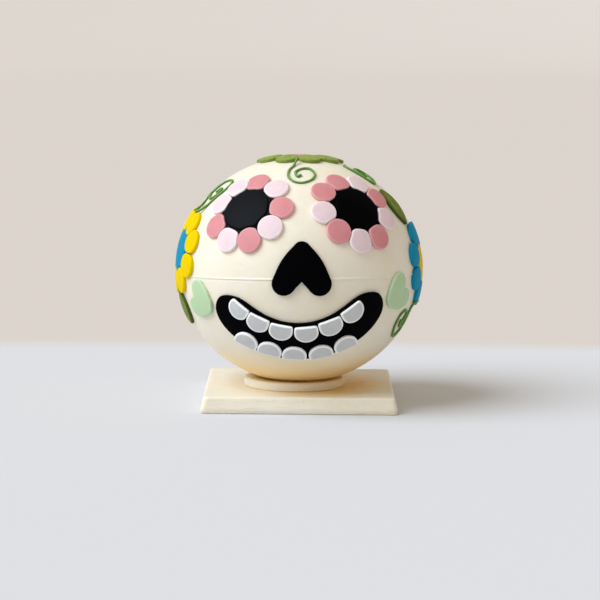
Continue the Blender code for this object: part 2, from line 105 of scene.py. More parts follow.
# Hearts: the lobes' radius, how far each lies from the axis, the distance from them to the
# tip, the tip's radius, the notch's depth towards the tip, the middle's share of the length,
# and how far the sides bulge
NOSE_HEART = (0.0069, 0.0104, 0.0245, 0.0053, 0.0014, 0.30, 0.0013)
RIGHT_CHEEK_HEART = (0.0059, 0.0058, 0.0141, 0.0070, -0.0022, 0.22, 0.0008)
LEFT_CHEEK_HEART = (0.0059, 0.0058, 0.0141, 0.0070, -0.0027, 0.22, 0.0008)
NOSE = (1.4, 2.5, 89)
LEFT_CHEEK = (-53.6, -12.0, -27)
RIGHT_CHEEK = (53.7, -9.3, -145)

# Grin: a crescent round a point above it
MOUTH = (0.0, -25.0)
MOUTH_PIVOT = (-0.0003, 0.0518)
MOUTH_RADIUS = 0.0613
MOUTH_REACH = 53.3
MOUTH_TURN = 0.8
MOUTH_HALF_WIDTH = 0.0135
MOUTH_END_SHARPNESS = 8.0
MOUTH_END_ROUNDNESS = 1.57
MOUTH_SPINE_SHARE = 0.90

# Teeth: discs with a slice cut off, each at an angle from straight down, a distance from the
# crescent's pivot and a radius
TOOTH_CUT = 0.0030
TOOTH_TILT = 0.78
UPPER_TEETH = ((-39.9, 0.0540, 0.0068), (-26.3, 0.0524, 0.0073), (-11.2, 0.0520, 0.0073),
               (4.8, 0.0523, 0.0073), (20.5, 0.0520, 0.0075), (36.2, 0.0526, 0.0074))
LOWER_TEETH = ((-26.2, 0.0713, 0.0073), (-14.3, 0.0702, 0.0073), (-2.2, 0.0704, 0.0073),
               (10.6, 0.0712, 0.0073), (23.0, 0.0716, 0.0073))

# Leaves: place, the way the leaf points, its length, how high its top stands
LEFT_LEAF = (-76.0, -17.0, -74, 0.0210, 0.0020)
RIGHT_LEAF = (68.9, 32.3, 101, 0.0264, 0.0020)
LEAF_WIDTH = 0.0145
LEAF_SPINE_SHARE = 0.92

# Piped curls: place, then the strokes of the nozzle, each by the places it passed through:
# east, north and, where it ran over other pieces, how high over the ball
FOREHEAD_CURL = (2.7, 55.1)
FOREHEAD_STROKES = ((
    (-0.0014, 0.0196, 0.0024), (-0.0026, 0.0165, 0.0016), (-0.0043, 0.0126), (-0.0073, 0.0068),
    (-0.0080, -0.0007), (-0.0048, -0.0064), (0.0005, -0.0078), (0.0062, -0.0044), (0.0083, 0.0015),
    (0.0059, 0.0076), (0.0010, 0.0082), (-0.0034, 0.0040), (-0.0024, -0.0013), (0.0000, 0.0004)),)
LEFT_CURL = (-67.8, 41.0)
LEFT_STROKES = ((
    (-0.0050, -0.0151, 0.0024), (-0.0048, -0.0119, 0.0010), (-0.0058, -0.0065), (-0.0066, -0.0006),
    (-0.0050, 0.0052), (-0.0020, 0.0102), (0.0037, 0.0124), (0.0084, 0.0110), (0.0102, 0.0069),
    (0.0092, 0.0018), (0.0068, -0.0034), (0.0042, -0.0084), (0.0010, -0.0132, 0.0010),
    (-0.0022, -0.0158, 0.0024)), (
    (-0.0062, 0.0002), (-0.0022, -0.0036), (0.0016, -0.0040), (0.0050, -0.0010), (0.0052, 0.0036),
    (0.0029, 0.0042), (0.0009, 0.0006)))
RIGHT_UPPER_CURL = (74.0, 54.5)
RIGHT_UPPER_STROKES = ((
    (-0.0058, 0.0130), (-0.0077, 0.0095), (-0.0080, 0.0061), (-0.0077, 0.0009), (-0.0068, -0.0043),
    (-0.0045, -0.0094), (0.0010, -0.0080), (0.0060, -0.0030), (0.0070, 0.0025), (0.0035, 0.0064),
    (-0.0020, 0.0066), (-0.0046, 0.0030), (-0.0032, -0.0012), (0.0004, -0.0018)),)
RIGHT_LOWER_CURL = (67.0, -25.0)
RIGHT_LOWER_STROKES = ((
    (0.0112, 0.0140, 0.0024), (0.0098, 0.0120, 0.0008), (0.0084, 0.0086), (0.0062, 0.0045),
    (0.0056, -0.0010), (0.0045, -0.0062), (-0.0006, -0.0097), (-0.0060, -0.0046), (-0.0077, 0.0009),
    (-0.0060, 0.0060), (-0.0008, 0.0086), (0.0024, 0.0055), (0.0008, 0.0015), (0.0012, -0.0028),
    (-0.0016, -0.0010), (-0.0022, 0.0026)),)

# Points along the outlines and steps over the edges
DISC_POINTS = 64
WIDE_DISC_POINTS = 120
HEART_POINTS = 120
HEART_ARC_POINTS = 30
MOUTH_POINTS = 220
LEAF_POINTS = 72
CURL_STEPS = 12
CURL_SIDES = 14
EDGE_STEPS = 6
INNER_SHARES = (0.95, 0.88, 0.78, 0.64, 0.48, 0.32, 0.16)
BALL_LEVELS = 120
SEAM_LEVELS = 18
PLATE_POINTS = 320
PLATE_TOP_RINGS = 36
FOOT_POINTS = 160
DISH_SHARES = (0.90, 0.85, 0.80, 0.75, 0.70, 0.6, 0.5, 0.3, 0.0)

# Cut edges of the paste: how softly pressed corners turn, how far the painted rim highlight
# or shade reaches in, how far the underside is drawn in, the lowest ring of the side, and how
# much of a piece an edge may take up
CORNER_SOFTNESS = 14
RIM_WIDTH = 0.0014
UNDERSIDE_INSET = 0.0003
SIDE_INSET = 0.00005
SIDE_SHARE = 0.3
MOST_INSET_SHARE = 0.85

# Piped lines: the knots at their start and end, how far these reach along the line, how much
# the line's width wanders, how high its middle lies in half widths, and the steps that close it
START_KNOT = 0.35
END_KNOT = 0.25
KNOT_REACH = 0.05
LINE_WANDER = 0.14
LINE_REST = 0.75
CLOSING_STEPS = 3

# The melted seam: how far it reaches in ridge widths, its groove's depth and drop as shares of
# the ridge, and its mean strength and how much that wanders
SEAM_REACH = 5
GROOVE_DEPTH = 0.30
GROOVE_DROP = 1.9
SEAM_STRENGTH = 0.75
SEAM_WANDER = 0.45

# How each surface wanders: about how far apart its bumps lie, and the seed of the noise
SEAM_WAVES = (0.35, 5)
BALL_WAVES = (0.030, 3)
PLATE_TOP_WAVES = (0.011, 11)
PLATE_SIDE_WAVES = (0.016, 12)
FOOT_WAVES = (0.6, 21)
OUTLINE_WAVES = 0.006
PASTE_WAVES = 0.005
LINE_WAVES = 0.003

# Plate: how much of its sides' lean is reached how far up, the least radius of a corner, and
# how high the outline stays steadier so that the plate stands flat
PLATE_BOW = (0.35, 0.4)
LEAST_CORNER = 0.0002
PLATE_STEADY = 0.002

# Foot: the radius of its rim, how far it sinks into the plate, how far its outline wanders
FOOT_EDGE = 0.0017
FOOT_SINK = 0.0003
FOOT_WANDER = 0.00025

# Painted warm shade on the chocolate and the ball's painted shadow on the plate: where it starts
# and where it is full, as heights on the ball and as distances from the middle of the foot's top and
# the plate
BALL_PAINTED_SHADE = (0.043, 0.010)
FOOT_PAINTED_SHADE = (0.0310, 0.0265)
PLATE_PAINTED_SHADOW = (0.054, 0.026)
FOOT_SHADE_MIDDLE = (BALL_CENTRE[0], BALL_CENTRE[1], 0.0)
PLATE_SHADOW_MIDDLE = (BALL_CENTRE[0] + 0.011, BALL_CENTRE[1], 0.01)

# The left eye's disc, a lighter black painted to stand for the window's sheen on it: its
# colour, its darker edge's colour, how strongly that shows, its gloss and how much powder lies on it
SHEEN_PAINTED_BLACK = ("#0C0E13", "#050506", 0.8, 0.06, 0.10)

# Daylight from the window, and the room's light from below and from above
WINDOW_COLOUR = "#E7F3FF"
WINDOW_DIRECTION = (0.70, 0.29, -0.76)
ROOM_COLOUR = "#FFF4E1"
ROOM_SHARES = (0.80, 1.25)

# The table's two colours meet on a wide circle: its middle, and the distances from there
TABLE_MIDDLE = (0.0, -2.60, 0.0)
TABLE_CHANGE = (2.81, 2.87)

# The table's far edge, where it turns up like a studio sweep
SWEEP_START = 9.0
SWEEP_RADIUS = 4.0
SWEEP_ANGLE = 35.0
SWEEP_STEPS = 12
SWEEP_SIDES = 96

# Sockets of the colour mix node, which share their names with the other kinds of mix
MIX_SHARE = 0
MIX_FIRST = 6
MIX_SECOND = 7
MIX_RESULT = 2


def length_setting(name, description, default, least, most):
    """A setting in metres, shown to a hundredth of a millimetre."""
    return bpy.props.FloatProperty(name=name, description=description, default=default,
                                   min=least, max=most, precision=5, unit="LENGTH")


def colour_setting(name, description, default):
    """A colour setting, written as #RRGGBB."""
    return bpy.props.StringProperty(name=name, description=description, default=default)


class BallSettings(bpy.types.PropertyGroup):
    unevenness: length_setting(
        "Unevenness", "How far the cast surface wanders from a true ball", 0.00010, 0.0, 0.001)
    seam_height: length_setting(
        "Seam Height", "How far the melted seam stands out", 0.00050, 0.0, 0.002)
    seam_width: length_setting(
        "Seam Width", "How far the seam's ridge reaches each way", 0.00055, 0.0001, 0.003)
    segments: bpy.props.IntProperty(
        name="Segments", description="Faces round the ball", default=200, min=32, max=400)
    chocolate: colour_setting("Chocolate", "Colour of the white chocolate", "#EFE7D6")
    chocolate_deep: colour_setting("Deeper Chocolate", "Its yellower patches", "#EADDBD")
    # the colour of the painted warm shade under the ball and of the ball's painted shadow on the plate
    chocolate_painted_shade: colour_setting("Warm Chocolate", "Where it nears the foot", "#F8D692")


class PlateSettings(bpy.types.PropertyGroup):
    edge_round: length_setting(
        "Edge Round", "Radius of the plate's upper edge", 0.0015, 0.0002, 0.004)
    corner: length_setting(
        "Corner Radius", "Radius of the plate's corners seen from above", 0.0032, 0.0005, 0.02)
    draft: length_setting(
        "Draft", "How far each side leans in towards the top", 0.0020, 0.0, 0.005)
    unevenness: length_setting(
        "Unevenness", "How far the plate's faces and edges wander", 0.00022, 0.0, 0.001)


class PasteSettings(bpy.types.PropertyGroup):
    height: length_setting(
        "Height", "How far the pieces' tops stand off the ball", 0.0022, 0.0005, 0.005)
    tooth_height: length_setting(
        "Tooth Height", "How far the teeth's tops stand off the ball", 0.0040, 0.001, 0.007)
    edge_round: length_setting(
        "Edge Round", "Radius of the cut edges", 0.0008, 0.0001, 0.002)
    dome: length_setting(
        "Dome", "How far the middle rises above the edge", 0.00012, 0.0, 0.001)
    gap: length_setting(
        "Gap", "Space between pieces pressed against each other", 0.00010, 0.0, 0.001)
    unevenness: length_setting(
        "Unevenness", "How far tops and outlines wander", 0.00008, 0.0, 0.0005)
    sink: length_setting(
        "Sink", "How far the pieces' undersides lie below the ball's surface", 0.00025, 0.0, 0.001)
    squeezed: length_setting(
        "Squeezed", "How far a flower's centre was pressed out between its petals", 0.0030, 0.0, 0.005)
    squeezed_height: length_setting(
        "Squeezed Height", "How high that thinner paste stands", 0.0011, 0.0009, 0.002)
    black: colour_setting("Black", "Eyes, nose and grin", "#020204")
    pink: colour_setting("Pink", "Darker petals", "#D2868A")
    pale_pink: colour_setting("Pale Pink", "Paler petals", "#E5CDD2")
    white: colour_setting("White", "Teeth", "#C6C8C9")
    mint: colour_setting("Mint", "Cheek hearts", "#B5D0A5")
    yellow: colour_setting("Yellow", "Side flowers", "#E5C300")
    blue: colour_setting("Blue", "Side flowers", "#0588AE")
    green: colour_setting("Green", "Top flower", "#93A44E")
    green_dark: colour_setting("Dark Green", "Its marbling", "#6A7B32")
    leaf: colour_setting("Leaf", "Leaves", "#7A8C2F")
    leaf_dark: colour_setting("Dark Leaf", "Their marbling", "#3C4A18")


class IcingSettings(bpy.types.PropertyGroup):
    thickness: length_setting(
        "Thickness", "Width of the piped line", 0.0015, 0.0003, 0.004)
    colour: colour_setting("Colour", "Piped curls", "#4C7F2E")


class StageSettings(bpy.types.PropertyGroup):
    lens: bpy.props.FloatProperty(name="Lens", description="Focal length in millimetres", default=135.0)
    camera_back: bpy.props.FloatProperty(
        name="Camera Distance", description="Distance in front of the ball",
        default=1.3995, unit="LENGTH")
    camera_height: bpy.props.FloatProperty(
        name="Camera Height", description="Height above the table", default=0.2364, unit="LENGTH")
    camera_tilt: bpy.props.FloatProperty(
        name="Camera Tilt", description="Degrees up from looking straight down", default=82.91)
    camera_roll: bpy.props.FloatProperty(
        name="Camera Roll", description="Degrees the picture is turned", default=0.5)
    key_strength: bpy.props.FloatProperty(
        name="Key Strength", description="Strength of the window light", default=3.15)
    key_softness: bpy.props.FloatProperty(
        name="Key Softness", description="Degrees the window spans", default=45.0)
    fill: bpy.props.FloatProperty(name="Fill", description="Strength of the room's light", default=0.50)
    far_table: colour_setting("Far Table", "Far part of the table", "#D2C9C3")
    table: colour_setting("Table", "Near part of the table", "#D5D5D9")


class SmashBallSettings(bpy.types.PropertyGroup):
    ball: bpy.props.PointerProperty(type=BallSettings, name="Ball", description="The cast ball")
    plate: bpy.props.PointerProperty(type=PlateSettings, name="Plate", description="The base plate")
    paste: bpy.props.PointerProperty(type=PasteSettings, name="Paste", description="Sugar paste pieces")
    icing: bpy.props.PointerProperty(type=IcingSettings, name="Icing", description="Piped curls")
    stage: bpy.props.PointerProperty(type=StageSettings, name="Stage", description="Camera and light")


def settings():
    """The add-on's settings in this file."""
    return bpy.context.scene.smash_ball


# Materials

def linear(colour):
    """A colour written as #RRGGBB, as linear values with an alpha."""
    channels = []
    for i in (1, 3, 5):
        value = int(colour[i:i + 2], 16) / 255
        channels.append(value / 12.92 if value <= 0.04045 else ((value + 0.055) / 1.055) ** 2.4)
    return (*channels, 1.0)


def set_node(material, node, values, links):
    """A node's own values (names in small letters), its plain inputs and its links, all set."""
    for key, value in values.items():
        if isinstance(key, str) and key.islower():
            setattr(node, key, value)
        else:
            node.inputs[key].default_value = value
    for key, source in links.items():
        material.node_tree.links.new(source, node.inputs[key])
    return node


def add_node(material, kind, values, links):
    """A new shader node with its values and links."""
    return set_node(material, material.node_tree.nodes.new(kind), values, links)


def new_material(name):
    """An empty material, its surface shader and the places that its patterns follow."""
    material = bpy.data.materials.new(name)
    material.use_nodes = True
    where = add_node(material, "ShaderNodeTexCoord", {}, {}).outputs["Object"]
    return material, material.node_tree.nodes["Principled BSDF"], where


def rim_of(material):
    """How near a place is to its piece's cut edge, or to the ridge of a piped line: the mask of the
    painted highlights and shade along edges and ridges.
    """
    return add_node(material, "ShaderNodeAttribute", {"attribute_name": "rim"}, {}).outputs["Fac"]


def stretched(material, where, scale):
    """Places for a pattern that is drawn out along one direction."""
    return add_node(material, "ShaderNodeMapping", {"Scale": scale},
                    {"Vector": where}).outputs["Vector"]


def distance_from(material, where, middle):
    return add_node(material, "ShaderNodeVectorMath", {"operation": "DISTANCE", 1: middle},
                    {0: where}).outputs["Value"]


def between(material, value, low, high):
    """Where a value lies between two levels, from 0 to 1."""
    return add_node(material, "ShaderNodeMapRange", {"From Min": low, "From Max": high},
                    {"Value": value}).outputs["Result"]


def pattern(material, where, size, detail, low=0.0, high=1.0):
    """Soft noise with blots about one size across, 0 below one level and 1 above the other."""
    cloud = add_node(material, "ShaderNodeTexNoise",
                     {"Scale": 1 / size, "Detail": detail}, {"Vector": where})
    return between(material, cloud.outputs["Fac"], low, high)


def scaled(material, value, factor):
    return add_node(material, "ShaderNodeMath", {"operation": "MULTIPLY", 1: factor},
                    {0: value}).outputs[0]


def mixed(material, share, first, second):
    """A colour between two, each a linear colour or another node's output."""
    values = {"data_type": "RGBA"}
    links = {MIX_SHARE: share}
    for socket, colour in ((MIX_FIRST, first), (MIX_SECOND, second)):
        (values if isinstance(colour, tuple) else links)[socket] = colour
    return add_node(material, "ShaderNodeMix", values, links).outputs[MIX_RESULT]


def tinted(material, colour, share, strength, tint):
    """A colour brought nearer to a tint, by a share of the way times a strength."""
    return mixed(material, scaled(material, share, strength), colour, linear(tint))


def bumped(material, height, distance, under=None):
    links = {"Height": height}
    if under:
        links["Normal"] = under
    return add_node(material, "ShaderNodeBump", {"Distance": distance}, links).outputs["Normal"]


def dented(material, where, size, depth, under=None, detail=3.0):
    """Soft dents in a surface, about one size across."""
    return bumped(material, pattern(material, where, size, detail), depth, under)


def smooth_share(material, value, none_at, full_at):
    """A share that grows smoothly from 0 to 1 between two values."""
    return add_node(material, "ShaderNodeMapRange",
                    {"interpolation_type": "SMOOTHSTEP", "From Min": none_at, "From Max": full_at},
                    {"Value": value}).outputs["Result"]


def painted_shade_low_on_ball(material, where):
    """Painted warm shade on the ball's underside, full towards its bottom."""
    parts = add_node(material, "ShaderNodeSeparateXYZ", {}, {"Vector": where})
    return smooth_share(material, parts.outputs["Z"], *BALL_PAINTED_SHADE)


def painted_shade_under_ball(material, where):
    """Painted warm shade where the foot's top runs in under the ball."""
    parts = add_node(material, "ShaderNodeSeparateXYZ", {}, {"Vector": where})
    flat = add_node(material, "ShaderNodeCombineXYZ", {},
                    {"X": parts.outputs["X"], "Y": parts.outputs["Y"]}).outputs["Vector"]
    return smooth_share(material, distance_from(material, flat, FOOT_SHADE_MIDDLE), *FOOT_PAINTED_SHADE)


def painted_shadow_beside_foot(material, where):
    """The ball's painted warm shadow on the plate round the foot, on the side away from the window."""
    return smooth_share(material, distance_from(material, where, PLATE_SHADOW_MIDDLE), *PLATE_PAINTED_SHADOW)


def cast_white_chocolate(name, scratches, painted_shade):
    """White chocolate set in a polished mould: satin, creamy, slightly see-through.

    The eye gets faint yellower patches, a soft sheen that changes across them, tiny air
    bubbles, painted warm shade where its mask lies, and on the plate the fine scrapes it was
    handled with, tinted brown only inside the ball's painted shadow.
    """
    own = settings().ball
    material, shader, where = new_material(name)
    patches = pattern(material, where, 0.022, 3.0, 0.40, 0.72)
    bloom = pattern(material, where, 0.0035, 4.0, 0.45, 0.80)
    colour = tinted(material, linear(own.chocolate), patches, 0.40, own.chocolate_deep)
    colour = tinted(material, colour, bloom, 0.12, "#FFFBF0")
    # painted warm shade: its mask, and the chocolate's shade colour mixed in where it lies
    near = painted_shade(material, where)
    colour = mixed(material, near, colour, linear(own.chocolate_painted_shade))
    bubbles = add_node(material, "ShaderNodeTexVoronoi", {"Scale": 1 / 0.0065}, {"Vector": where})
    normal = bumped(material, between(material, bubbles.outputs["Distance"], 0.025, 0.05), 0.00018)
    normal = dented(material, where, 0.0009, 0.00006, normal, 5.0)
    normal = dented(material, where, 0.006, 0.00025, normal)
    if scratches:
        drawn_out = stretched(material, where, (0.14, 1.0, 1.0))
        scrape = pattern(material, drawn_out, 0.0014, 4.0, 0.52, 0.68)
        normal = bumped(material, scrape, 0.00010, normal)
        # real scrapes, tinted brown only inside the ball's painted shadow
        scrapes_in_painted_shadow = add_node(material, "ShaderNodeMath", {"operation": "MULTIPLY"}, {0: scrape, 1: near})
        colour = tinted(material, colour, scrapes_in_painted_shadow.outputs[0], 0.60, "#C49C60")
        crumbs = pattern(material, where, 0.0016, 2.0, 0.66, 0.78)
        colour = tinted(material, colour, crumbs, 0.40, "#CDAF7C")
    gloss = add_node(material, "ShaderNodeMapRange", {"To Min": 0.36, "To Max": 0.52},
                     {"Value": patches}).outputs["Result"]
    set_node(material, shader,
             {"IOR": 1.46, "Specular IOR Level": 0.42, "Subsurface Weight": 0.25,
              "Subsurface Radius": (1.0, 0.80, 0.50), "Subsurface Scale": 0.0025},
             {"Base Color": colour, "Roughness": gloss, "Normal": normal})
    return material


def rolled_sugar_paste(name, colour, rim, painted_edge_share, gloss, powder):
    """Sugar paste rolled thin, cut with a round cutter and pressed on by hand.

    The eye gets a matt, powdery face with faint cloudiness, painted light along the cut edge (a paler
    highlight, or a darker rim round a painted sheen) and a fine grain.
    """
    material, shader, where = new_material(name)
    clouds = pattern(material, where, 0.006, 3.0, 0.35, 0.75)
    dust = pattern(material, where, 0.00045, 2.0, 0.60, 0.74)
    face = tinted(material, linear(colour), clouds, 0.10, rim)
    face = tinted(material, face, dust, powder, rim)
    # painted light along the cut edge: mostly a paler highlight, on the left eye's black a darker rim
    # round its painted sheen
    face = tinted(material, face, rim_of(material), painted_edge_share, rim)
    grain = dented(material, where, 0.0004, 0.00005)
    set_node(material, shader,
             {"Roughness": 0.50, "IOR": 1.47, "Specular IOR Level": gloss, "Subsurface Weight": 0.15,
              "Subsurface Radius": (1.0, 0.7, 0.6), "Subsurface Scale": 0.0012},
             {"Base Color": face, "Normal": dented(material, where, 0.0030, 0.00018, grain)})
    return material


def marbled_sugar_paste(name, light, dark, painted_edge_shade_share):
    """Two greens of sugar paste kneaded only part of the way, rolled and cut.

    The eye gets stretched streaks of the darker green and painted shade along the cut edge.
    """
    material, shader, where = new_material(name)
    streaks = add_node(material, "ShaderNodeTexNoise",
                       {"Scale": 1 / 0.0030, "Detail": 4.0, "Distortion": 1.2},
                       {"Vector": stretched(material, where, (1.0, 1.0, 0.35))})
    marbling = between(material, streaks.outputs["Fac"], 0.42, 0.62)
    face = tinted(material, linear(light), marbling, 0.55, dark)
    # painted shade along the cut edge
    face = tinted(material, face, rim_of(material), painted_edge_shade_share, dark)
    grain = dented(material, where, 0.0005, 0.00006)
    set_node(material, shader,
             {"Roughness": 0.52, "IOR": 1.47, "Specular IOR Level": 0.15, "Subsurface Weight": 0.12,
              "Subsurface Radius": (0.6, 1.0, 0.4), "Subsurface Scale": 0.001},
             {"Base Color": face, "Normal": dented(material, where, 0.0028, 0.0002, grain)})
    return material


def piped_icing(name, colour):
    """Green icing squeezed through a fine nozzle: it dries with a smooth satin skin.

    The eye gets a painted highlight along the line's ridge and slightly deeper colour in places.
    """
    material, shader, where = new_material(name)
    depth = pattern(material, where, 0.0022, 2.0, 0.35, 0.70)
    face = tinted(material, linear(colour), depth, 0.35, "#2F5A1C")
    # painted highlight along the ridge
    face = tinted(material, face, rim_of(material), 0.60, "#8DB552")
    set_node(material, shader,
             {"Roughness": 0.38, "IOR": 1.45, "Subsurface Weight": 0.10,
              "Subsurface Radius": (0.5, 1.0, 0.3), "Subsurface Scale": 0.001},
             {"Base Color": face, "Normal": dented(material, where, 0.0008, 0.00008)})
    return material


def material_for(slot_name):
    """The material of one of the record's slots, made the first time it is asked for."""
    name = f"{slot_name}_look"
    if name in bpy.data.materials:
        return bpy.data.materials[name]
    own = settings().paste
    if slot_name == "white_chocolate":
        # the ball gets painted warm shade on its underside
        return cast_white_chocolate(name, False, painted_shade_low_on_ball)
    if slot_name == "green_paste":
        # the top flower's petal edges get painted shade
        return marbled_sugar_paste(name, own.green, own.green_dark, 0.45)
    if slot_name == "green_icing":
        return piped_icing(name, settings().icing.colour)
    # Each: colour; the colour its clouds, powder and painted edge light lean to; the share of that
    # painted edge light; gloss; powder
    colour, rim, painted_edge_share, gloss, powder = {
        "black_paste": (own.black, "#020203", 0.5, 0.02, 0.10),
        "pink_paste": (own.pink, "#EFBDBF", 0.45, 0.30, 0.15),
        "pale_pink_paste": (own.pale_pink, "#FFF6F6", 0.60, 0.30, 0.20),
        "white_paste": (own.white, "#FFFFFF", 1.5, 0.30, 0.08),
        "mint_paste": (own.mint, "#D5EBCB", 0.30, 0.30, 0.15),
        "yellow_paste": (own.yellow, "#F0D202", 0.30, 0.02, 0.20),
        "blue_paste": (own.blue, "#2796BC", 0.30, 0.03, 0.15),
    }[slot_name]
    return rolled_sugar_paste(name, colour, rim, painted_edge_share, gloss, powder)


# Meshes

def turns_round(count):
    """Angles spread evenly round a circle."""
    return [2 * math.pi * i / count for i in range(count)]


def rounded_edge(radius):
    """The steps over a rounded edge: how far in, how far below the top, and how level there."""
    steps = []
    for i in range(EDGE_STEPS + 1):
        angle = math.pi / 2 * i / EDGE_STEPS
        steps.append((radius * (1 - math.cos(angle)), radius * (1 - math.sin(angle)), math.sin(angle)))
    return steps


def add_object(name, data):
    """A mesh, light or camera put into the scene."""
    new = bpy.data.objects.new(name, data)
    bpy.context.scene.collection.objects.link(new)
    return new


def loft(rings, rims=None):
    """Points, faces and rim values of a skin over rings of one length, from first to last."""
    count = len(rings[0])
    points = [point for ring in rings for point in ring]
    values = [rim for rim in (rims or [0.0] * len(rings)) for _ in range(count)]
    faces = []
    for k in range(len(rings) - 1):
        for i in range(count):
            j = (i + 1) % count
            faces.append((k * count + i, k * count + j, (k + 1) * count + j, (k + 1) * count + i))
    return points, faces, values


def add_piece(name, skins, place, material, nodes):
    """One mesh of one or more skins, welded where rings meet in a point, in place of CAD nodes."""
    points, faces, values = [], [], []
    for skin_points, skin_faces, skin_values in skins:
        start = len(points)
        points += [place @ Vector(point) for point in skin_points]
        faces += [tuple(start + i for i in face) for face in skin_faces]
        values += skin_values
    data = bpy.data.meshes.new(name)
    data.from_pydata(points, [], faces)
    rim = data.attributes.new("rim", "FLOAT", "POINT")
    rim.data.foreach_set("value", values)
    mesh = bmesh.new()
    mesh.from_mesh(data)
    bmesh.ops.remove_doubles(mesh, verts=mesh.verts, dist=1e-7)
    bmesh.ops.recalc_face_normals(mesh, faces=mesh.faces)
    mesh.to_mesh(data)
    mesh.free()
    data.shade_smooth()
    data.materials.append(material)
    new = add_object(name, data)
    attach(new, BODY)
    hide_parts(*nodes)
    return new


def wander(point, size, seed):
    """Smooth noise from -1 to 1 with bumps about one size across."""
    return noise.noise(Vector(point) / size + Vector((seed * 7.3, seed * 3.1, seed * 5.7)))


# Places on the ball

def on_ball(direction, height):
    """The point of the ball's surface in a direction from its middle, raised by a height."""
    flat = (direction.x ** 2 + direction.y ** 2) / BALL_RADIUS ** 2
    point = direction / math.sqrt(flat + direction.z ** 2 / BALL_HALF_HEIGHT ** 2)
    outward = Vector((point.x / BALL_RADIUS ** 2, point.y / BALL_RADIUS ** 2,
                      point.z / BALL_HALF_HEIGHT ** 2)).normalized()
    return point + outward * height


def patch_axes(longitude, latitude):
    """The outward, eastward and northward directions at a place on the ball."""
    east_angle, north_angle = math.radians(longitude), math.radians(latitude)
    outward = Vector((math.sin(east_angle) * math.cos(north_angle),
                      -math.cos(east_angle) * math.cos(north_angle), math.sin(north_angle)))
    east = Vector((math.cos(east_angle), math.sin(east_angle), 0.0))
    return outward, east, outward.cross(east)


def wrap(axes, u, v, height):
    """The point u east and v north of a patch's middle, measured along the ball."""
    outward, east, north = axes
    angle = math.hypot(u, v) / BALL_MEAN_RADIUS
    turn = math.atan2(v, u)
    sideways = east * math.cos(turn) + north * math.sin(turn)
    return on_ball(outward * math.cos(angle) + sideways * math.sin(angle), height)


def turned(points, angle, middle=(0.0, 0.0)):
    """Flat points turned by an angle and moved to a middle."""
    c, s = math.cos(math.radians(angle)), math.sin(math.radians(angle))
    return [(middle[0] + c * x - s * y, middle[1] + s * x + c * y) for x, y in points]


# Outlines of the paste pieces

def soft_minimum(values):
    """The least of the values, eased where two of them are nearly equal."""
    return sum(value ** -CORNER_SOFTNESS for value in values) ** (-1 / CORNER_SOFTNESS)


def pressed_outline(disc, neighbours, count, gap, cut=None, stretch=(1.0, 1.0)):
    """A disc's outline where its neighbours press it.

    Each disc is a middle, a radius and a level. A cut is the direction and the distance of a
    straight slice off the disc. A stretch makes the disc an oval.
    """
    middle, radius, level = disc
    outline = []
    for angle in turns_round(count):
        along = (math.cos(angle), math.sin(angle))
        reaches = [radius / math.hypot(along[0] / stretch[0], along[1] / stretch[1])]
        if cut and math.cos(angle - cut[0]) > 0:
            reaches.append(cut[1] / math.cos(angle - cut[0]))
        for other, other_radius, other_level in neighbours:
            away = (other[0] - middle[0], other[1] - middle[1])
            apart = math.hypot(*away)
            toward = along[0] * away[0] + along[1] * away[1]
            if other_level < level or toward <= 0 or apart > radius + other_radius + gap:
                continue
            if other_level == level:
                face = (apart ** 2 + radius ** 2 - other_radius ** 2) / (2 * apart) - gap / 2
                reaches.append(face * apart / toward)
            else:
                rim = (other_radius + gap) ** 2 - (apart ** 2 - toward ** 2)
                if rim > 0:
                    reaches.append(toward - math.sqrt(rim))
        reach = soft_minimum(reaches)
        outline.append((along[0] * reach, along[1] * reach))
    return outline


def evenly(path, count):
    """A closed path's points, spread evenly along it."""
    closed = path + [path[0]]
    steps = [math.dist(a, b) for a, b in zip(closed, closed[1:])]
    spacing = sum(steps) / count
    points, start, i = [], 0.0, 0
    for k in range(count):
        while start + steps[i] < k * spacing:
            start += steps[i]
            i += 1
        share = (k * spacing - start) / steps[i]
        a, b = closed[i], closed[i + 1]
        points.append((a[0] + (b[0] - a[0]) * share, a[1] + (b[1] - a[1]) * share))
    return points


def heart_outline(heart, count):
    """A heart with its tip towards +X, round the middle between its lobes and its tip."""
    lobe, spread, length, tip_round, notch, middle_share, bulge = heart
    tip_middle = length - tip_round
    side = (math.acos((lobe - tip_round) / math.hypot(tip_middle, spread))
            - math.atan2(spread, tip_middle))
    first = -math.atan2(spread, notch) - math.acos(lobe / math.hypot(notch, spread))
    sweep = side - 2 * math.pi - first
    half = [(notch, 0.0)]
    for i in range(HEART_ARC_POINTS + 1):
        angle = first + sweep * i / HEART_ARC_POINTS
        half.append((lobe * math.cos(angle), spread + lobe * math.sin(angle)))
    start = half[-1]
    end = (tip_middle + tip_round * math.cos(side), tip_round * math.sin(side))
    for i in range(1, HEART_ARC_POINTS + 1):
        share = i / HEART_ARC_POINTS
        out = bulge * math.sin(math.pi * share)
        half.append((start[0] + (end[0] - start[0]) * share + out * math.cos(side),
                     start[1] + (end[1] - start[1]) * share + out * math.sin(side)))
    for i in range(1, HEART_ARC_POINTS):
        angle = side * (1 - i / HEART_ARC_POINTS)
        half.append((tip_middle + tip_round * math.cos(angle), tip_round * math.sin(angle)))
    other_half = [(x, -y) for x, y in reversed(half[1:])]
    middle = length * middle_share
    return [(x - middle, y) for x, y in evenly(half + [(length, 0.0)] + other_half, count)]


